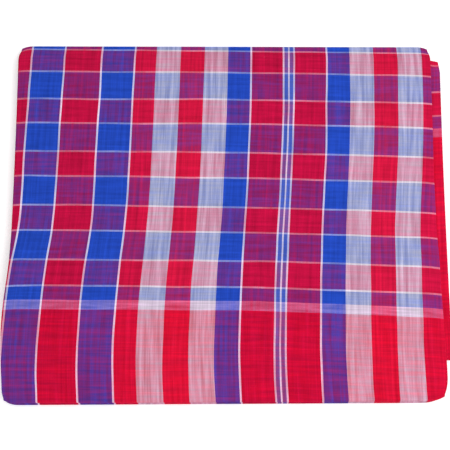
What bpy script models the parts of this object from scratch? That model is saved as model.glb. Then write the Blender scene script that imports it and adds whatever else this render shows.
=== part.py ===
"""A folded gamcha: one woven cotton length, folded across and along into a flat packet.

The cloth is folded twice. Across its width, both sides are folded under until the two selvedges
almost meet, which leaves a strip of two layers. Along its length, that strip is folded in half
and in half again, and its last stretch is tucked under the top panel at the front. The solid is
one sheet that runs through all of these folds, its layers a little apart.
Metres, +Z up, front towards -Y, resting on z = 0 with the origin under the middle.
"""

import math
from collections import namedtuple

import bmesh
import bpy
from mathutils import Vector

# The cloth and how closely it is folded
CLOTH_WIDTH = 0.740
SHEET = 0.0010
LAYER_GAP = 0.0004
LAYER_PITCH = SHEET + LAYER_GAP
STRIP_PITCH = 2 * LAYER_PITCH
ROLL_RADIUS = LAYER_PITCH / 2
HALF_STRIP = ROLL_RADIUS + SHEET / 2

# The packet
FRONT = -0.1625
BACK = 0.1625
HALF_PACKET = 0.1900
TUCK = 0.1130
CUT_END_SET_BACK = 0.0362
INNER_FOLD_SET_IN = 0.0140

# The folds in the order in which the strip meets them, with its cut ends first and last. reach
# is the y of the outermost line, left and right are the strip's edges there, middle is where the
# cloth's centre line lies, skew is how much further back the fold lies at the right than in the
# middle, and the corners are the radii to which the packet's corners are rounded there.
Fold = namedtuple("Fold", "name reach left right middle skew left_corner right_corner")
FOLDS = (
    Fold("cut end of the tuck", FRONT + TUCK, -0.1870, 0.1850, 0.0430, 0.0015, 0, 0),
    Fold("upper front fold", FRONT, -0.1886, 0.1910, 0.0475, 0.0008, 0.006, 0.011),
    Fold("outer back fold", BACK, -0.1908, 0.1918, 0.0605, -0.0005, 0.007, 0.006),
    Fold("lower front fold", FRONT - 0.0015, -0.1880, 0.1885, 0.0480, 0.0010, 0.007, 0.011),
    Fold("inner back fold", BACK - INNER_FOLD_SET_IN, -0.1830, 0.2008, 0.0700, 0, 0.009, 0.005),
    Fold("inner cut end", FRONT + CUT_END_SET_BACK, -0.1840, 0.1970, 0.0710, -0.0010, 0, 0),
)

# The panels between those folds. level counts the strips that lie beneath the panel's lowest
# plain stretch, way is +1 where the strip runs to the back and -1 where it runs to the front,
# and the waists are how far each side is drawn in halfway along.
Panel = namedtuple("Panel", "name level way left_waist right_waist")
PANELS = (
    Panel("tuck", 2, -1, 0, 0),
    Panel("top", 3, 1, 0.0016, 0.0028),
    Panel("bottom", 0, -1, 0.0010, 0.0020),
    Panel("third", 1, 1, 0.0010, 0.0010),
    Panel("inner", 2, -1, 0.0010, 0.0010),
)

# Where a side edge bulges out: the share of its panel at which it does so most, the share to
# either side over which that fades, and how far out it goes
Swell = namedtuple("Swell", "panel side place reach out")
SWELLS = (
    Swell("top", "left", 0.20, 0.19, 0.0036),
    Swell("top", "right", 0.80, 0.18, 0.0006),
)

# Where panels climb onto what lies beneath them or come down past it, counted in strips
Ramp = namedtuple("Ramp", "name panels start end rise")
RAMPS = (
    Ramp("over the inner cut end", ("tuck", "top"), -0.1590, -0.1298, 1),
    Ramp("down past the tuck", ("top",), -0.0460, -0.0120, -1),
    Ramp("down past the inner back fold", ("top",), 0.1475, 0.1585, -1),
)

# How finely the sheet is divided: distances from a fold, then even steps between them
FOLD_STATIONS = (0.0, 0.005, 0.012, 0.024)
ROW_SPACING = 0.050
MIDDLE_STEPS = 4
FLAP_STEPS = 2
ROLL_STEPS = 4
BEND_STEPS = 5
RAMP_STEPS = 4
CLOSEST_ROWS = 0.0025

# A rounded corner is drawn in along x and y alike, and the pull fades out over its reach
CORNER_DRAW = 0.30
CORNER_REACH = 1.70

COTTON_COLOUR = (0.55, 0.04, 0.12, 1.0)
COTTON_ROUGHNESS = 0.85

# A row of the sheet is a place on the strip's middle surface, the direction in which the strip
# runs there, its panel and the share of that panel behind it. A column is a stretch of the
# strip's section with a place on it.
Row = namedtuple("Row", "y z heading panel share")
Column = namedtuple("Column", "stretch place")


def blend(first, second, share):
    """Value between two values."""
    return first + (second - first) * share


def smooth(share):
    """Rise from 0 to 1 with level ends."""
    held = min(max(share, 0.0), 1.0)
    return held * held * (3 - 2 * held)


def even_shares(count):
    """Shares strictly between 0 and 1, in even steps."""
    return [step / count for step in range(1, count)]


def height(panel, y):
    """Height of the middle surface of the strip in a panel."""
    level = panel.level
    for ramp in RAMPS:
        if panel.name in ramp.panels:
            level += ramp.rise * smooth((y - ramp.start) / (ramp.end - ramp.start))
    return HALF_STRIP + level * STRIP_PITCH


def slope(panel, y):
    """Slope of a panel towards the back."""
    step = 0.0001
    return (height(panel, y + step) - height(panel, y - step)) / (2 * step)


def bend_rise(index, y):
    """How far the strip rises through the bend after a panel."""
    return height(PANELS[index + 1], y) - height(PANELS[index], y)


def bend_centre(index):
    """The y of the centre of the bend after a panel."""
    reach = FOLDS[index + 1].reach
    radius = abs(bend_rise(index, reach)) / 2
    return reach - PANELS[index].way * (radius + HALF_STRIP)


def panel_span(index):
    """The y where a panel starts and the y where it ends."""
    start = FOLDS[0].reach if index == 0 else bend_centre(index - 1)
    end = FOLDS[-1].reach if index == len(PANELS) - 1 else bend_centre(index)
    return start, end


def panel_stations(index):
    """The y of each row of a panel, in the order of the cloth."""
    panel = PANELS[index]
    start, end = panel_span(index)
    near_start = [start + panel.way * station for station in FOLD_STATIONS]
    near_end = [end - panel.way * station for station in FOLD_STATIONS]
    count = round(abs(near_end[-1] - near_start[-1]) / ROW_SPACING)
    between = [blend(near_start[-1], near_end[-1], share) for share in even_shares(count)]
    ramps = [ramp for ramp in RAMPS if panel.name in ramp.panels]
    on_ramps = [blend(ramp.start, ramp.end, step / RAMP_STEPS)
                for ramp in ramps for step in range(RAMP_STEPS + 1)]
    stations = [start, end] + [y for y in on_ramps if abs(y - end) > CLOSEST_ROWS]
    for y in near_start[1:] + between + near_end[1:]:
        on_a_ramp = any(ramp.start < y < ramp.end for ramp in ramps)
        if not on_a_ramp and min(abs(y - other) for other in stations) > CLOSEST_ROWS:
            stations.append(y)
    return sorted(stations, reverse=panel.way < 0)


def panel_rows(index):
    """The rows of a panel."""
    panel = PANELS[index]
    start, end = panel_span(index)
    rows = []
    for y in panel_stations(index):
        heading = math.atan(slope(panel, y))
        if panel.way < 0:
            heading += math.pi
        rows.append(Row(y, height(panel, y), heading, index, (y - start) / (end - start)))
    return rows


def bend_rows(index):
    """The rows between a panel and the next, round half a circle."""
    panel = PANELS[index]
    centre = bend_centre(index)
    start_height = height(panel, centre)
    radius = bend_rise(index, centre) / 2
    rows = []
    for share in even_shares(BEND_STEPS):
        turn = math.pi * share
        y = centre + panel.way * abs(radius) * math.sin(turn)
        z = start_height + radius * (1 - math.cos(turn))
        heading = panel.way * math.copysign(turn, radius)
        if panel.way < 0:
            heading += math.pi
        rows.append(Row(y, z, heading, index, 1.0))
    return rows


def all_rows():
    """Every row of the sheet, from the tuck's cut end to the inner one."""
    rows = []
    for index in range(len(PANELS)):
        rows += panel_rows(index)
        if index < len(PANELS) - 1:
            rows += bend_rows(index)
    return rows


def all_columns():
    """Every column of the sheet, from the left selvedge to the right one."""
    flap = [Column("left flap", step / FLAP_STEPS) for step in range(FLAP_STEPS)]
    flap += [Column("left flap near fold", station) for station in reversed(FOLD_STATIONS[1:])]
    roll = [Column("left roll", step / ROLL_STEPS) for step in range(ROLL_STEPS)]
    middle = [Column("middle near left", station) for station in FOLD_STATIONS]
    middle += [Column("middle", share) for share in even_shares(MIDDLE_STEPS)]
    middle += [Column("middle near right", station) for station in reversed(FOLD_STATIONS)]
    mirrored = {"left flap": "right flap", "left flap near fold": "right flap near fold",
                "left roll": "right roll"}
    other_side = [Column(mirrored[column.stretch], column.place)
                  for column in reversed(flap + roll)]
    return flap + roll + middle + other_side


def swelling(panel, side, share):
    """How far a side edge bulges out at a share of its panel."""
    out = 0.0
    for swell in SWELLS:
        if (swell.panel, swell.side) == (panel.name, side):
            nearness = max(0.0, 1 - ((share - swell.place) / swell.reach) ** 2)
            out += swell.out * nearness ** 2
    return out


def strip_edges(row):
    """Left edge, right edge and the cloth's centre line at a row."""
    panel = PANELS[row.panel]
    before = FOLDS[row.panel]
    after = FOLDS[row.panel + 1]
    bow = 4 * row.share * (1 - row.share)
    left = blend(before.left, after.left, row.share) + panel.left_waist * bow
    left -= swelling(panel, "left", row.share)
    right = blend(before.right, after.right, row.share) - panel.right_waist * bow
    right += swelling(panel, "right", row.share)
    return left, right, blend(before.middle, after.middle, row.share)


def flap_place(column, length):
    """Distance of a flap's column from its side fold."""
    if column.stretch.endswith("near fold"):
        return column.place
    return blend(length, FOLD_STATIONS[-1], column.place)


def across(column, left, right, middle):
    """Place a column in the strip's section: x, and distance above the middle surface."""
    from_left = left + HALF_STRIP
    from_right = right - HALF_STRIP
    roll_length = math.pi * ROLL_RADIUS
    if column.stretch.startswith("left flap"):
        length = CLOTH_WIDTH / 2 + from_left - middle - roll_length
        return from_left + flap_place(column, length), -ROLL_RADIUS
    if column.stretch.startswith("right flap"):
        length = CLOTH_WIDTH / 2 - from_right + middle - roll_length
        return from_right - flap_place(column, length), -ROLL_RADIUS
    if column.stretch.endswith("roll"):
        turn = math.pi * column.place
        out = ROLL_RADIUS * math.sin(turn)
        x = from_left - out if column.stretch == "left roll" else from_right + out
        return x, -ROLL_RADIUS * math.cos(turn)
    if column.stretch == "middle near left":
        return from_left + column.place, ROLL_RADIUS
    if column.stretch == "middle near right":
        return from_right - column.place, ROLL_RADIUS
    last = FOLD_STATIONS[-1]
    return blend(from_left + last, from_right - last, column.place), ROLL_RADIUS


def corner_pull(radius, from_side, from_fold):
    """How far a point near a corner is drawn in."""
    reach = CORNER_REACH * radius
    if from_side >= reach or from_fold >= reach:
        return 0.0
    return CORNER_DRAW * radius * (1 - from_side / reach) ** 2 * (1 - from_fold / reach) ** 2


def drawn_in(row, x, left, right):
    """Shift of a point towards the packet's middle where it lies near a rounded corner."""
    start, end = panel_span(row.panel)
    way = PANELS[row.panel].way
    flat_y = blend(start, end, row.share)
    from_left = max(x - left - HALF_STRIP, 0.0)
    from_right = max(right - HALF_STRIP - x, 0.0)
    shift_x = 0.0
    shift_y = 0.0
    ends = ((FOLDS[row.panel], start, way), (FOLDS[row.panel + 1], end, -way))
    for fold, fold_y, inward in ends:
        from_fold = abs(flat_y - fold_y)
        pull_left = corner_pull(fold.left_corner, from_left, from_fold)
        pull_right = corner_pull(fold.right_corner, from_right, from_fold)
        shift_x += pull_left - pull_right
        shift_y += inward * (pull_left + pull_right)
    return shift_x, shift_y


def place(row, column):
    """Point of the sheet's middle surface at a row and a column."""
    left, right, middle = strip_edges(row)
    x, above = across(column, left, right, middle)
    shift_x, shift_y = drawn_in(row, x, left, right)
    skew = blend(FOLDS[row.panel].skew, FOLDS[row.panel + 1].skew, row.share)
    y = row.y - above * math.sin(row.heading) + shift_y + skew * x / HALF_PACKET
    z = row.z + above * math.cos(row.heading)
    return Vector((x + shift_x, y, z))


def centre_on_origin(form):
    """Move the sheet so that the middle of its outline lies over the origin."""
    for axis in (0, 1):
        values = [vertex.co[axis] for vertex in form.verts]
        middle = (min(values) + max(values)) / 2
        for vertex in form.verts:
            vertex.co[axis] -= middle


def folded_sheet():
    """The sheet's middle surface: an even grid laid through all the folds."""
    rows = all_rows()
    columns = all_columns()
    last_row = len(rows) - 1
    last_column = len(columns) - 1
    form = bmesh.new()
    bmesh.ops.create_grid(form, x_segments=last_column, y_segments=last_row, size=0.5)
    for vertex in form.verts:
        row = rows[round((vertex.co.y + 0.5) * last_row)]
        column = columns[round((vertex.co.x + 0.5) * last_column)]
        vertex.co = place(row, column)
    centre_on_origin(form)
    mesh = bpy.data.meshes.new("gamcha_cloth")
    form.to_mesh(mesh)
    form.free()
    mesh.shade_smooth()
    return mesh


def cotton():
    """Checked cotton, here in its prevailing red."""
    material = bpy.data.materials.new("checked_cotton")
    material.use_nodes = True
    shader = material.node_tree.nodes["Principled BSDF"]
    shader.inputs["Base Color"].default_value = COTTON_COLOUR
    shader.inputs["Roughness"].default_value = COTTON_ROUGHNESS
    shader.inputs["Metallic"].default_value = 0.0
    return material


def build():
    """Make the folded cloth in a collection of its own."""
    for thing in list(bpy.data.objects):
        bpy.data.objects.remove(thing)
    group = bpy.data.collections.new("gamcha")
    bpy.context.scene.collection.children.link(group)
    cloth = bpy.data.objects.new("gamcha_cloth", folded_sheet())
    cloth.data.materials.append(cotton())
    group.objects.link(cloth)
    thickness = cloth.modifiers.new("sheet", "SOLIDIFY")
    thickness.thickness = SHEET
    thickness.offset = 0.0
    thickness.use_even_offset = True


build()
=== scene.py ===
"""The looks of a folded gamcha: fine woven cloth on the solid's folds, soft light and a camera.

The cloth is one thin sheet through every fold of the packet. Its stripes and bars are woven from
dyed yarns by a procedural material that reads the sheet's own coordinates: u in metres across the
cloth from its centre line, v in metres along it from the tuck's cut end.
Metres, +Z up, front towards -Y.
"""

import math
from collections import namedtuple

import bmesh
import bpy
import numpy as np
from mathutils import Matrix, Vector


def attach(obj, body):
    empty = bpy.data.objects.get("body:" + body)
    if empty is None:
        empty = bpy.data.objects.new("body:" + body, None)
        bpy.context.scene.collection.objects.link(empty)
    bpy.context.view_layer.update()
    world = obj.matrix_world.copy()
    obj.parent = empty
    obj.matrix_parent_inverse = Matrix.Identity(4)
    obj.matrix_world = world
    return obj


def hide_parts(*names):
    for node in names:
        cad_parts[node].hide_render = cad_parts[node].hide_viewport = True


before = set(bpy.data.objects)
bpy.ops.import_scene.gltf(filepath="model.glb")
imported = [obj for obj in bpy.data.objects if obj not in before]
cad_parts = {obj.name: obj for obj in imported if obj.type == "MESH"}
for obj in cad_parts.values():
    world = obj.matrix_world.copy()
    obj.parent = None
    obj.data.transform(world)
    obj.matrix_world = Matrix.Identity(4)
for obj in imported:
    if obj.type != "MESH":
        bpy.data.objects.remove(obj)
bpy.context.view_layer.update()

# The cloth and how closely it is folded, as in the solid
CLOTH_WIDTH = 0.740
SOLID_SHEET = 0.0010
LAYER_PITCH = 0.0014
STRIP_PITCH = 2 * LAYER_PITCH
ROLL_RADIUS = LAYER_PITCH / 2
HALF_STRIP = ROLL_RADIUS + SOLID_SHEET / 2
HALF_PACKET = 0.1900
CORNER_DRAW = 0.30
CORNER_REACH = 1.70

# The cloth that shows is a little thinner than the solid
COTTON = 0.0008

# The folds in the order in which the strip meets them, as in the solid
Fold = namedtuple("Fold", "name reach left right middle skew left_corner right_corner")
FOLDS = (
    Fold("cut end of the tuck", -0.0495, -0.1870, 0.1850, 0.0430, 0.0015, 0, 0),
    Fold("upper front fold", -0.1625, -0.1886, 0.1910, 0.0475, 0.0008, 0.006, 0.011),
    Fold("outer back fold", 0.1625, -0.1908, 0.1918, 0.0605, -0.0005, 0.007, 0.006),
    Fold("lower front fold", -0.1640, -0.1880, 0.1885, 0.0480, 0.0010, 0.007, 0.011),
    Fold("inner back fold", 0.1485, -0.1830, 0.2008, 0.0700, 0, 0.009, 0.005),
    Fold("inner cut end", -0.1263, -0.1840, 0.1970, 0.0710, -0.0010, 0, 0),
)
Panel = namedtuple("Panel", "name level way left_waist right_waist row_step")
PANELS = (
    Panel("tuck", 2, -1, 0, 0, 0.008),
    Panel("top", 3, 1, 0.0016, 0.0028, 0.003),
    Panel("bottom", 0, -1, 0.0010, 0.0020, 0.012),
    Panel("third", 1, 1, 0.0010, 0.0010, 0.012),
    Panel("inner", 2, -1, 0.0010, 0.0010, 0.010),
)
Swell = namedtuple("Swell", "panel side place reach out")
SWELLS = (
    Swell("top", "left", 0.20, 0.19, 0.0036),
    Swell("top", "right", 0.80, 0.18, 0.0006),
)
Ramp = namedtuple("Ramp", "name panels start end rise")
RAMPS = (
    Ramp("over the inner cut end", ("tuck", "top"), -0.1590, -0.1298, 1),
    Ramp("down past the tuck", ("top",), -0.0460, -0.0120, -1),
    Ramp("down past the inner back fold", ("top",), 0.1475, 0.1585, -1),
)

# Soft ridges that the layers share, each highest on the top panel: a place on it, the way that
# the ridge runs, its half length and half width, and its rise
Ridge = namedtuple("Ridge", "x y turn length width rise")
RIDGES = (
    Ridge(-0.120, -0.090, math.radians(84), 0.090, 0.030, 0.0006),
    Ridge(-0.020, 0.050, math.radians(97), 0.110, 0.034, 0.0005),
    Ridge(0.100, -0.040, math.radians(80), 0.100, 0.028, 0.0006),
    Ridge(0.030, -0.120, math.radians(8), 0.120, 0.016, 0.0004),
    Ridge(-0.100, 0.105, math.radians(-6), 0.070, 0.022, 0.0004),
    Ridge(0.150, 0.090, math.radians(70), 0.060, 0.020, 0.0005),
)

# How finely the cloth is divided: its flaps and its middle across the width, the rolls at the side
# folds and the bends at the front and back folds, and the step by which a slope is measured
LEFT_FLAP_STEPS = 14
RIGHT_FLAP_STEPS = 27
MIDDLE_STEPS = 127
ROLL_STEPS = 8
BEND_STEPS = 8
SLOPE_STEP = 0.0001

# The warp's stripes, which run along the cloth and lie alike on both sides of its centre line,
# listed outwards from there
Stripe = namedtuple("Stripe", "yarn width")
WARP_STRIPES = (
    Stripe("line", 0.0007),
    Stripe("slate", 0.0033),
    Stripe("line", 0.0015),
    Stripe("red", 0.0286),
    Stripe("line", 0.0016),
    Stripe("blue", 0.0206),
    Stripe("dusky", 0.0220),
    Stripe("scarlet", 0.0220),
    Stripe("dusky", 0.0226),
    Stripe("bright red", 0.0191),
    Stripe("line", 0.0016),
    Stripe("blue", 0.0288),
    Stripe("line", 0.0016),
    Stripe("red", 0.0330),
    Stripe("line", 0.0016),
    Stripe("blue", 0.0289),
    Stripe("line", 0.0016),
    Stripe("red", 0.0326),
    Stripe("line", 0.0016),
    Stripe("blue", 0.0282),
    Stripe("line", 0.0016),
    Stripe("red", 0.0330),
    Stripe("line", 0.0016),
    Stripe("red", 0.0321),
)

# The weft from each cut end inwards: the plain border, a white band, a first blue bar and then the
# repeat. From FAR_END_FROM on, distances along the cloth count from the inner cut end
BORDER = 0.1893
INNER_BORDER = 0.1975
BAND = 0.0083
FIRST_BLUE = 0.0113
FAR_END_FROM = 0.9000
WEFT_REPEAT = (
    Stripe("line", 0.0016),
    Stripe("red", 0.0214),
    Stripe("line", 0.0016),
    Stripe("blue", 0.0250),
)

# How the weave lies out of true: the weft slants, and more so on the right towards the front, it
# drags near the side folds, the warp leans to the right close to the front folds, and on the top
# panel it wanders and draws in at the waist, while the weft sags and rises on the right
WEFT_SLANT = 0.010
FRONT_SLANT = 0.029
FRONT_SLANT_FROM = -0.020
FRONT_SLANT_ENDS = 0.460
FRONT_SLANT_LENGTH = 0.250
FRONT_SLANT_MOST = 1.1
EDGE_DRAG = 0.0008
EDGE_DRAG_REACH = 0.0140
FRONT_LEAN = 0.0020
FRONT_LEAN_REACH = 0.055
WANDER = 0.0014
MIDDLE_SHIFT = 0.0004
SAG = 0.0009
SAG_FROM = 0.35
SAG_STARTS = -0.180
SAG_WHOLE = -0.060
WAIST_DRAW = 0.016
WAIST_PLACE = 0.49
WAIST_WIDTH = 0.172

# Yarn colours, and how much each covers as warp and as weft: the warp's white lines are doubled
Yarn = namedtuple("Yarn", "red green blue in_warp in_weft")
YARNS = {
    "red": Yarn(0.484, 0.0040, 0.046, 0.40, 0.33),
    "bright red": Yarn(0.575, 0.0060, 0.046, 0.40, 0.33),
    "scarlet": Yarn(0.618, 0.0077, 0.043, 0.40, 0.33),
    "border": Yarn(0.706, 0.0006, 0.013, 0.40, 0.33),
    "blue": Yarn(0.015, 0.060, 0.453, 0.33, 0.42),
    "slate": Yarn(0.100, 0.130, 0.460, 0.33, 0.33),
    "white": Yarn(0.739, 0.432, 0.742, 0.33, 0.33),
    "dusky": Yarn(0.583, 0.533, 0.604, 0.45, 0.33),
    "line": Yarn(0.740, 0.640, 0.770, 0.90, 0.42),
}

# The plain weave: its pitch, the weft's weight beside the warp's, how far the share of each changes
# from yarn to yarn, in streaks and slowly, and how much of the colour comes through both
YARN_PITCH = 0.00055
WEFT_WEIGHT = 0.50
OVER_AND_UNDER = 0.12
STREAKS = 0.42
DRIFT = 0.10
SEEN_THROUGH = 0.50

# Uneven yarns: how far they wander, with the wander's grain across and along a yarn, then the grain
# of the thick and thin places, by u and v, and how strongly they and each yarn differ in lightness
YARN_WANDER = 0.0005
WANDER_GRAIN = (0.02, 0.05)
WARP_SLUB = (0.0030, 0.050)
WEFT_SLUB = (0.035, 0.0028)
SLUB_DETAIL = 3.0
SLUB_SHADES = 0.55
WARP_SHADES = 0.08
WEFT_SHADES = 0.06

# The cotton's surface: matt, with the yarns in low relief
ROUGHNESS = 0.9
SPECULAR = 0.05
RELIEF = 0.0002
RELIEF_STRENGTH = 0.5

# The mesh attribute that carries u and v
COORDINATES = "cloth"

# Where the bake gets more of its map: the part of the width that lies outside, and two panels
OUTSIDE_FROM = -0.262
OUTSIDE_TO = 0.148
OUTSIDE_ROOM = 4.0
PANEL_ROOM = {"top": 4.0, "bottom": 1.6}
MAP_MARGIN = 0.003

# The camera, in the fold table's own frame before the packet is centred
CAMERA_PLACE = Vector((0.0011, -0.1517, 0.6921))
CAMERA_ELEVATION = math.radians(78.2)
FOCAL_PIXELS = 787.0
PICTURE_PIXELS = 450
SENSOR = 36.0
NEAREST_SEEN = 0.01
FARTHEST_SEEN = 20.0

# The white floor, which glows a little, and the light on it: all round, and a soft one at the right
HALF_FLOOR = 3.0
FLOOR_WHITE = 0.97
FLOOR_GLOW = 0.18
LIGHT_ALL_ROUND = 0.87
SIDE_LIGHT_PLACE = (0.6, -0.1, 0.9)
SIDE_LIGHT_SIZE = 0.7
SIDE_LIGHT_WATTS = 4.7

# A row of the cloth: where it lies, the way that it heads, its panel, its share of the way through
# the panel and its distance along the cloth
Row = namedtuple("Row", "y z heading panel share along")


def blend(first, second, share):
    """Value between two values."""
    return first + (second - first) * share


def smooth(share):
    """Rise from 0 to 1 with level ends."""
    held = np.clip(share, 0.0, 1.0)
    return held * held * (3 - 2 * held)


def even(start, end, step):
    """Evenly spaced values from start to end, both included."""
    count = max(2, round(abs(end - start) / step))
    return np.linspace(start, end, count + 1)


def height(panel, y):
    """Height of the middle surface of the strip in a panel."""
    level = panel.level
    for ramp in RAMPS:
        if panel.name in ramp.panels:
            level += ramp.rise * smooth((y - ramp.start) / (ramp.end - ramp.start))
    return HALF_STRIP + level * STRIP_PITCH


def slope(panel, y):
    """Slope of a panel towards the back."""
    return (height(panel, y + SLOPE_STEP) - height(panel, y - SLOPE_STEP)) / (2 * SLOPE_STEP)


def bend_rise(index, y):
    """How far the strip rises through the bend after a panel."""
    return height(PANELS[index + 1], y) - height(PANELS[index], y)


def bend_centre(index):
    """The y of the centre of the bend after a panel."""
    reach = FOLDS[index + 1].reach
    radius = abs(bend_rise(index, reach)) / 2
    return reach - PANELS[index].way * (radius + HALF_STRIP)


def panel_span(index):
    """The y where a panel starts and the y where it ends."""
    start = FOLDS[0].reach if index == 0 else bend_centre(index - 1)
    end = FOLDS[-1].reach if index == len(PANELS) - 1 else bend_centre(index)
    return start, end


def panel_rows(index, along):
    """The rows of a panel, each with its distance along the cloth."""
    panel = PANELS[index]
    start, end = panel_span(index)
    rows = []
    before = None
    for y in even(start, end, panel.row_step):
        z = float(height(panel, y))
        if before is not None:
            along += math.hypot(y - before[0], z - before[1])
        before = (y, z)
        heading = math.atan(slope(panel, y))
        if panel.way < 0:
            heading += math.pi
        rows.append(Row(y, z, heading, index, (y - start) / (end - start), along))
    return rows


def bend_rows(index, along):
    """The rows between a panel and the next, round half a circle."""
    panel = PANELS[index]
    centre = bend_centre(index)
    start_height = float(height(panel, centre))
    radius = float(bend_rise(index, centre)) / 2
    rows = []
    for step in range(1, BEND_STEPS):
        turn = math.pi * step / BEND_STEPS
        y = centre + panel.way * abs(radius) * math.sin(turn)
        z = start_height + radius * (1 - math.cos(turn))
        heading = panel.way * math.copysign(turn, radius)
        if panel.way < 0:
            heading += math.pi
        rows.append(Row(y, z, heading, index, 1.0, along + abs(radius) * turn))
    return rows


def all_rows():
    """Every row of the cloth, from the tuck's cut end to the inner one."""
    rows = []
    along = 0.0
    for index in range(len(PANELS)):
        rows += panel_rows(index, along)
        if index < len(PANELS) - 1:
            along = rows[-1].along
            rows += bend_rows(index, along)
            along += math.pi * abs(bend_rise(index, bend_centre(index))) / 2
    return rows


ROWS = all_rows()
CLOTH_LENGTH = ROWS[-1].along


def swelling(panel, side, share):
    """How far a side edge bulges out at a share of its panel."""
    out = 0.0
    for swell in SWELLS:
        if (swell.panel, swell.side) == (panel.name, side):
            nearness = max(0.0, 1 - ((share - swell.place) / swell.reach) ** 2)
            out += swell.out * nearness ** 2
    return out


def strip_edges(row):
    """Left edge, right edge and the cloth's centre line at a row."""
    panel = PANELS[row.panel]
    before = FOLDS[row.panel]
    after = FOLDS[row.panel + 1]
    bow = 4 * row.share * (1 - row.share)
    left = blend(before.left, after.left, row.share) + panel.left_waist * bow
    left -= swelling(panel, "left", row.share)
    right = blend(before.right, after.right, row.share) - panel.right_waist * bow
    right += swelling(panel, "right", row.share)
    return left, right, blend(before.middle, after.middle, row.share)


def section(row):
    """The strip's section at a row: x, distance above its middle surface, and u."""
    left, right, middle = strip_edges(row)
    from_left = left + HALF_STRIP
    from_right = right - HALF_STRIP
    roll_length = math.pi * ROLL_RADIUS
    left_flap = CLOTH_WIDTH / 2 + from_left - middle - roll_length
    right_flap = CLOTH_WIDTH / 2 - from_right + middle - roll_length
    flap_left = np.linspace(1.0, 0.0, LEFT_FLAP_STEPS + 1)
    flap_right = np.linspace(0.0, 1.0, RIGHT_FLAP_STEPS + 1)
    middle_share = np.linspace(0.0, 1.0, MIDDLE_STEPS + 1)
    turn = np.linspace(0.0, math.pi, ROLL_STEPS + 1)[1:-1]
    x = np.concatenate((
        from_left + left_flap * flap_left,
        from_left - ROLL_RADIUS * np.sin(turn),
        blend(from_left, from_right, middle_share),
        from_right + ROLL_RADIUS * np.sin(turn),
        from_right - right_flap * flap_right,
    ))
    above = np.concatenate((
        np.full(len(flap_left), -ROLL_RADIUS),
        -ROLL_RADIUS * np.cos(turn),
        np.full(len(middle_share), ROLL_RADIUS),
        ROLL_RADIUS * np.cos(turn),
        np.full(len(flap_right), -ROLL_RADIUS),
    ))
    u = np.concatenate((
        from_left - middle - roll_length - left_flap * flap_left,
        from_left - middle - roll_length + ROLL_RADIUS * turn,
        blend(from_left, from_right, middle_share) - middle,
        from_right - middle + ROLL_RADIUS * turn,
        from_right - middle + roll_length + right_flap * flap_right,
    ))
    return x, above, u


def corner_pull(radius, from_side, from_fold):
    """How far points near a corner are drawn in."""
    if radius == 0:
        return np.zeros_like(from_side)
    reach = CORNER_REACH * radius
    near_side = np.clip(1 - from_side / reach, 0, 1) ** 2
    near_fold = np.clip(1 - from_fold / reach, 0, 1) ** 2
    return CORNER_DRAW * radius * near_side * near_fold


def drawn_in(row, x, left, right):
    """Shift of points towards the packet's middle where they lie near a rounded corner."""
    start, end = panel_span(row.panel)
    way = PANELS[row.panel].way
    flat_y = blend(start, end, row.share)
    from_left = np.maximum(x - left - HALF_STRIP, 0.0)
    from_right = np.maximum(right - HALF_STRIP - x, 0.0)
    shift_x = np.zeros_like(x)
    shift_y = np.zeros_like(x)
    ends = ((FOLDS[row.panel], start, way), (FOLDS[row.panel + 1], end, -way))
    for fold, fold_y, inward in ends:
        from_fold = abs(flat_y - fold_y)
        pull_left = corner_pull(fold.left_corner, from_left, from_fold)
        pull_right = corner_pull(fold.right_corner, from_right, from_fold)
        shift_x += pull_left - pull_right
        shift_y += inward * (pull_left + pull_right)
    return shift_x, shift_y


def out_of_true(row, u, from_edge):
    """Cloth coordinates of a row, with the weave's slants, drags and wanders put in."""
    front = (FRONT_SLANT_ENDS - row.along) / FRONT_SLANT_LENGTH
    front = np.clip(front, 0, FRONT_SLANT_MOST)
    slanted = WEFT_SLANT * u + FRONT_SLANT * front * np.maximum(u - FRONT_SLANT_FROM, 0)
    drag = EDGE_DRAG * np.clip(1 - from_edge / EDGE_DRAG_REACH, 0, 1) ** 2
    v = row.along + slanted + drag
    from_front = max(row.y - FOLDS[1].reach, 0.0)
    u = u - FRONT_LEAN * max(1 - from_front / FRONT_LEAN_REACH, 0.0) ** 2
    if PANELS[row.panel].name == "top":
        into_sag = max(row.share - SAG_FROM, 0.0) / (1 - SAG_FROM)
        sag = SAG * math.sin(2 * math.pi * into_sag)
        v = v + sag * smooth((u - SAG_STARTS) / (SAG_WHOLE - SAG_STARTS))
        wander = WANDER * math.sin(2 * math.pi * row.share)
        wander += MIDDLE_SHIFT * math.sin(math.pi * row.share)
        waist = WAIST_DRAW * math.exp(-((row.share - WAIST_PLACE) / WAIST_WIDTH) ** 2)
        u = (u + wander) / (1 - waist)
    return u, v


def row_points(row):
    """Points of a row of the cloth, with their cloth coordinates u and v."""
    left, right, middle = strip_edges(row)
    x, above, u = section(row)
    shift_x, shift_y = drawn_in(row, x, left, right)
    skew = blend(FOLDS[row.panel].skew, FOLDS[row.panel + 1].skew, row.share)
    y = row.y - above * math.sin(row.heading) + shift_y + skew * x / HALF_PACKET
    z = row.z + above * math.cos(row.heading)
    from_edge = np.minimum(np.abs(x - left), np.abs(right - x))
    u, v = out_of_true(row, u, from_edge)
    return np.stack((x + shift_x, y, z), axis=1), u, v


def lay_cloth():
    """Every row's points and cloth coordinates, and where the packet's middle lies among them."""
    laid = [row_points(row) for row in ROWS]
    points = np.array([row[0] for row in laid])
    u = np.array([row[1] for row in laid])
    v = np.array([row[2] for row in laid])
    middle = (points.min(axis=(0, 1)) + points.max(axis=(0, 1))) / 2
    middle[2] = (SOLID_SHEET - COTTON) / 2
    return points, u, v, middle


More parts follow.
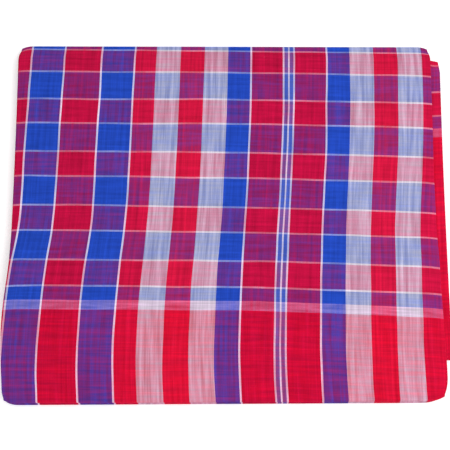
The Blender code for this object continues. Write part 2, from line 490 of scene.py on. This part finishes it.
def ridged(points, top):
    """Points with the soft ridges put in, which lift all layers in step so that none meet."""
    x, y, z = points[..., 0], points[..., 1], points[..., 2]
    rise = np.zeros_like(z)
    for ridge in RIDGES:
        across, beside = x - ridge.x, y - ridge.y
        along = across * math.cos(ridge.turn) + beside * math.sin(ridge.turn)
        off = beside * math.cos(ridge.turn) - across * math.sin(ridge.turn)
        rise += ridge.rise * np.exp(-(along / ridge.length) ** 2 - (off / ridge.width) ** 2)
    lifted = points.copy()
    lifted[..., 2] = z + rise * z / top
    return lifted


POINTS, CLOTH_U, CLOTH_V, PACKET_MIDDLE = lay_cloth()


def map_places(distances, room):
    """Places along one side of the bake's map, for steps that get more or less room."""
    steps = np.diff(distances) * room
    places = np.concatenate(([0.0], np.cumsum(steps))) / steps.sum()
    return MAP_MARGIN + (1 - 2 * MAP_MARGIN) * places


def bake_map(form, indices):
    """A flat map of the cloth for baking, with most of its room for the outside of the packet."""
    flat_u = CLOTH_U.mean(axis=0)
    middles = (flat_u[1:] + flat_u[:-1]) / 2
    outside = (middles > OUTSIDE_FROM) & (middles < OUTSIDE_TO)
    across = map_places(flat_u, np.where(outside, OUTSIDE_ROOM, 1.0))
    panel_room = [PANEL_ROOM.get(PANELS[row.panel].name, 1.0) for row in ROWS[1:]]
    along = map_places([row.along for row in ROWS], panel_room)
    layer = form.loops.layers.uv.new("OFBake")
    for face in form.faces:
        for loop in face.loops:
            i, j = indices[loop.vert]
            loop[layer].uv = (across[j], along[i])


def cloth_mesh():
    """The cloth's middle surface with its coordinates, centred as the solid is."""
    points = ridged(POINTS - PACKET_MIDDLE, POINTS[..., 2].max())
    u, v = CLOTH_U, CLOTH_V
    count_rows, count_columns = u.shape
    form = bmesh.new()
    half = 0.5
    bmesh.ops.create_grid(form, x_segments=count_columns - 1, y_segments=count_rows - 1, size=half)
    coordinates = form.verts.layers.float_color.new(COORDINATES)
    indices = {}
    for vertex in form.verts:
        i = round((vertex.co.y + half) * (count_rows - 1))
        j = round((vertex.co.x + half) * (count_columns - 1))
        indices[vertex] = i, j
        vertex.co = points[i, j]
        vertex[coordinates] = (u[i, j], v[i, j], 0.0, 1.0)
    bake_map(form, indices)
    mesh = bpy.data.meshes.new("cloth")
    form.to_mesh(mesh)
    form.free()
    mesh.shade_smooth()
    return mesh


def node_math(tree, operation, *inputs):
    """A Math node on sockets and numbers."""
    node = tree.nodes.new("ShaderNodeMath")
    node.operation = operation
    for socket, value in zip(node.inputs, inputs):
        if isinstance(value, (int, float)):
            socket.default_value = value
        else:
            tree.links.new(value, socket)
    return node.outputs[0]


def mix_colours(tree, kind, factor, first, second):
    """A colour Mix node on sockets and plain colours."""
    node = tree.nodes.new("ShaderNodeMix")
    node.data_type = "RGBA"
    node.blend_type = kind
    for name, value in (("Factor_Float", factor), ("A_Color", first), ("B_Color", second)):
        socket = next(s for s in node.inputs if s.identifier == name)
        if isinstance(value, (int, float)):
            socket.default_value = value
        elif isinstance(value, tuple):
            socket.default_value = (*value, 1.0)
        else:
            tree.links.new(value, socket)
    return next(s for s in node.outputs if s.identifier == "Result_Color")


def stripe_steps(tree, position, stripes, part):
    """Colour and cover of the yarn at a distance in metres into a row of stripes."""
    yarn = YARNS[stripes[0].yarn]
    colour = yarn[:3]
    cover = getattr(yarn, part)
    start = 0.0
    for before, stripe in zip(stripes, stripes[1:]):
        start += before.width
        yarn = YARNS[stripe.yarn]
        more_cover = getattr(yarn, part) - getattr(YARNS[before.yarn], part)
        reached = node_math(tree, "GREATER_THAN", position, start)
        colour = mix_colours(tree, "MIX", reached, colour, yarn[:3])
        cover = node_math(tree, "MULTIPLY_ADD", reached, more_cover, cover)
    return colour, cover


def stretched_noise(tree, u, v, size_u, size_v, detail=1.0):
    """Noise from 0 to 1 over the cloth, with its own grain across and along."""
    scaled = tree.nodes.new("ShaderNodeCombineXYZ")
    tree.links.new(node_math(tree, "DIVIDE", u, size_u), scaled.inputs["X"])
    tree.links.new(node_math(tree, "DIVIDE", v, size_v), scaled.inputs["Y"])
    node = tree.nodes.new("ShaderNodeTexNoise")
    node.noise_dimensions = "2D"
    node.inputs["Scale"].default_value = 1.0
    node.inputs["Detail"].default_value = detail
    tree.links.new(scaled.outputs[0], node.inputs["Vector"])
    return node.outputs["Fac"]


def yarn_wander(tree, position, noise, reach):
    """A cloth coordinate that wanders by up to a reach either way."""
    off = node_math(tree, "MULTIPLY", node_math(tree, "SUBTRACT", noise, 0.5), 2 * reach)
    return node_math(tree, "ADD", position, off)


def weft_yarn(tree, v):
    """Colour and cover of the weft yarn at a distance along the cloth."""
    far_end = CLOTH_LENGTH + BORDER - INNER_BORDER
    in_far_part = node_math(tree, "GREATER_THAN", v, FAR_END_FROM)
    turned = node_math(tree, "MULTIPLY_ADD", v, -2.0, far_end)
    from_end = node_math(tree, "MULTIPLY_ADD", turned, in_far_part, v)
    past_border = node_math(tree, "SUBTRACT", from_end, BORDER)
    repeat = sum(stripe.width for stripe in WEFT_REPEAT)
    into_repeats = node_math(tree, "SUBTRACT", past_border, BAND + FIRST_BLUE)
    turns = node_math(tree, "FLOOR", node_math(tree, "DIVIDE", into_repeats, repeat))
    phase = node_math(tree, "SUBTRACT", into_repeats, node_math(tree, "MULTIPLY", turns, repeat))
    bars, bars_cover = stripe_steps(tree, phase, WEFT_REPEAT, "in_weft")
    after_band = node_math(tree, "GREATER_THAN", past_border, BAND)
    with_band = mix_colours(tree, "MIX", after_band, YARNS["white"][:3], bars)
    after_border = node_math(tree, "GREATER_THAN", past_border, 0.0)
    colour = mix_colours(tree, "MIX", after_border, YARNS["border"][:3], with_band)
    border_cover = YARNS["border"].in_weft
    more_cover = node_math(tree, "SUBTRACT", bars_cover, border_cover)
    return colour, node_math(tree, "MULTIPLY_ADD", more_cover, after_band, border_cover)


def crossing(tree, u, v):
    """1 where the warp lies on top and 0 where the weft does, and the numbers of both yarns."""
    column = node_math(tree, "FLOOR", node_math(tree, "DIVIDE", u, YARN_PITCH))
    row = node_math(tree, "FLOOR", node_math(tree, "DIVIDE", v, YARN_PITCH))
    both = node_math(tree, "MULTIPLY", node_math(tree, "ADD", column, row), 0.5)
    return node_math(tree, "MULTIPLY", node_math(tree, "FRACT", both), 2.0), column, row


def power(tree, colour, exponent):
    """A colour raised to a power, channel by channel."""
    node = tree.nodes.new("ShaderNodeGamma")
    tree.links.new(exponent, node.inputs["Gamma"])
    tree.links.new(colour, node.inputs["Color"])
    return node.outputs["Color"]


def yarn_shade(tree, number, spread):
    """A lightness of its own for each yarn, near 1."""
    node = tree.nodes.new("ShaderNodeTexWhiteNoise")
    node.noise_dimensions = "1D"
    tree.links.new(number, node.inputs["W"])
    off = node_math(tree, "SUBTRACT", node.outputs["Value"], 0.5)
    return node_math(tree, "ADD", node_math(tree, "MULTIPLY", off, 2 * spread), 1.0)


def cloth_coordinates(tree):
    """The sheet's own coordinates u and v."""
    attribute = tree.nodes.new("ShaderNodeAttribute")
    attribute.attribute_name = COORDINATES
    parts = tree.nodes.new("ShaderNodeSeparateXYZ")
    tree.links.new(attribute.outputs["Vector"], parts.inputs[0])
    return parts.outputs["X"], parts.outputs["Y"]


def share_of_weft(tree, warp_cover, weft_cover, streaks, drift):
    """How much of what shows is weft, uneven in streaks and from place to place."""
    weft_weight = node_math(tree, "MULTIPLY", weft_cover, WEFT_WEIGHT)
    both_weights = node_math(tree, "ADD", weft_weight, warp_cover)
    even_share = node_math(tree, "DIVIDE", weft_weight, both_weights)
    drifting_share = node_math(tree, "MULTIPLY_ADD", drift, DRIFT, even_share)
    return node_math(tree, "MULTIPLY_ADD", streaks, STREAKS, drifting_share)


def woven_colour(tree, warp, weft, weft_share, over):
    """Warp and weft colours mixed, partly side by side and partly one through the other."""
    over_share = node_math(tree, "MULTIPLY_ADD", over, -2 * OVER_AND_UNDER, OVER_AND_UNDER)
    seen_share = node_math(tree, "ADD", over_share, weft_share)
    side_by_side = mix_colours(tree, "MIX", seen_share, warp, weft)
    through_warp = power(tree, warp, node_math(tree, "SUBTRACT", 1.0, weft_share))
    through_weft = power(tree, weft, weft_share)
    through_both = mix_colours(tree, "MULTIPLY", 1.0, through_warp, through_weft)
    return mix_colours(tree, "MIX", SEEN_THROUGH, side_by_side, through_both)


def shades(tree, column, row, slubs):
    """Grey near white that shades each yarn and its thick and thin places."""
    warp_shade = yarn_shade(tree, column, WARP_SHADES)
    weft_shade = yarn_shade(tree, row, WEFT_SHADES)
    slub_shade = node_math(tree, "MULTIPLY_ADD", slubs, SLUB_SHADES, 1 - SLUB_SHADES)
    yarns_shade = node_math(tree, "MULTIPLY", warp_shade, weft_shade)
    shade = node_math(tree, "MULTIPLY", yarns_shade, slub_shade)
    grey = tree.nodes.new("ShaderNodeCombineColor")
    for channel in grey.inputs:
        tree.links.new(shade, channel)
    return grey.outputs[0]


def woven_cotton():
    """Plain-woven check of red, blue and white cotton."""
    material = bpy.data.materials.new("checked_cotton_weave")
    material.use_nodes = True
    tree = material.node_tree
    shader = tree.nodes["Principled BSDF"]
    flat_u, flat_v = cloth_coordinates(tree)
    sideways = stretched_noise(tree, flat_u, flat_v, *WANDER_GRAIN)
    lengthways = stretched_noise(tree, flat_v, flat_u, *WANDER_GRAIN)
    u = yarn_wander(tree, flat_u, sideways, YARN_WANDER)
    v = yarn_wander(tree, flat_v, lengthways, YARN_WANDER)
    warp_slub = stretched_noise(tree, flat_u, flat_v, *WARP_SLUB, SLUB_DETAIL)
    weft_slub = stretched_noise(tree, flat_u, flat_v, *WEFT_SLUB, SLUB_DETAIL)
    slubs = node_math(tree, "ADD", warp_slub, weft_slub)

    warp, warp_cover = stripe_steps(tree, node_math(tree, "ABSOLUTE", u), WARP_STRIPES, "in_warp")
    weft, weft_cover = weft_yarn(tree, v)
    over, column, row = crossing(tree, u, v)
    streaks = node_math(tree, "SUBTRACT", weft_slub, warp_slub)
    drift = node_math(tree, "SUBTRACT", lengthways, sideways)
    weft_share = share_of_weft(tree, warp_cover, weft_cover, streaks, drift)
    woven = woven_colour(tree, warp, weft, weft_share, over)
    colour = mix_colours(tree, "MULTIPLY", 1.0, woven, shades(tree, column, row, slubs))
    tree.links.new(colour, shader.inputs["Base Color"])
    shader.inputs["Roughness"].default_value = ROUGHNESS
    shader.inputs["Specular IOR Level"].default_value = SPECULAR

    bump = tree.nodes.new("ShaderNodeBump")
    bump.inputs["Strength"].default_value = RELIEF_STRENGTH
    bump.inputs["Distance"].default_value = RELIEF
    tree.links.new(node_math(tree, "ADD", over, slubs), bump.inputs["Height"])
    tree.links.new(bump.outputs["Normal"], shader.inputs["Normal"])
    return material


def make_cloth():
    """The gamcha, one piece in place of its solid."""
    mesh = cloth_mesh()
    cloth = bpy.data.objects.new("gamcha", mesh)
    bpy.context.scene.collection.objects.link(cloth)
    mesh.materials.append(woven_cotton())
    thickness = cloth.modifiers.new("cotton", "SOLIDIFY")
    thickness.thickness = COTTON
    thickness.offset = 0.0
    thickness.use_even_offset = True
    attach(cloth, "root")
    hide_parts("gamcha_cloth")


def lit_white():
    """Matt white that also glows a little, so that the floor's soft shadows stay pale."""
    material = bpy.data.materials.new("white_floor")
    material.use_nodes = True
    shader = material.node_tree.nodes["Principled BSDF"]
    shader.inputs["Base Color"].default_value = (FLOOR_WHITE, FLOOR_WHITE, FLOOR_WHITE, 1.0)
    shader.inputs["Roughness"].default_value = 1.0
    shader.inputs["Emission Color"].default_value = (1.0, 1.0, 1.0, 1.0)
    shader.inputs["Emission Strength"].default_value = FLOOR_GLOW
    return material


def make_floor():
    """A plain white floor."""
    form = bmesh.new()
    bmesh.ops.create_grid(form, x_segments=1, y_segments=1, size=HALF_FLOOR)
    mesh = bpy.data.meshes.new("floor")
    form.to_mesh(mesh)
    form.free()
    floor = bpy.data.objects.new("floor", mesh)
    mesh.materials.append(lit_white())
    bpy.context.scene.collection.objects.link(floor)


def light_all_round():
    """Even white light from everywhere."""
    world = bpy.data.worlds.new("studio")
    world.use_nodes = True
    background = world.node_tree.nodes["Background"]
    background.inputs["Color"].default_value = (1.0, 1.0, 1.0, 1.0)
    background.inputs["Strength"].default_value = LIGHT_ALL_ROUND
    bpy.context.scene.world = world


def light_from_the_right():
    """A soft square light at the right that points at the packet."""
    light = bpy.data.lights.new("light from the right", "AREA")
    light.size = SIDE_LIGHT_SIZE
    light.energy = SIDE_LIGHT_WATTS
    lamp = bpy.data.objects.new("light from the right", light)
    lamp.location = SIDE_LIGHT_PLACE
    lamp.rotation_euler = (-Vector(SIDE_LIGHT_PLACE)).to_track_quat("-Z", "Y").to_euler()
    bpy.context.scene.collection.objects.link(lamp)


def make_camera():
    """The photograph's view, from above and a little in front."""
    camera = bpy.data.objects.new("camera", bpy.data.cameras.new("camera"))
    camera.data.sensor_width = SENSOR
    camera.data.lens = FOCAL_PIXELS / PICTURE_PIXELS * SENSOR
    camera.data.clip_start = NEAREST_SEEN
    camera.data.clip_end = FARTHEST_SEEN
    camera.location = CAMERA_PLACE - Vector((PACKET_MIDDLE[0], PACKET_MIDDLE[1], 0.0))
    camera.rotation_euler = (math.pi / 2 - CAMERA_ELEVATION, 0.0, 0.0)
    bpy.context.scene.collection.objects.link(camera)
    bpy.context.scene.camera = camera


make_camera()
make_cloth()
make_floor()
light_all_round()
light_from_the_right()
bpy.context.scene.view_settings.view_transform = "Standard"
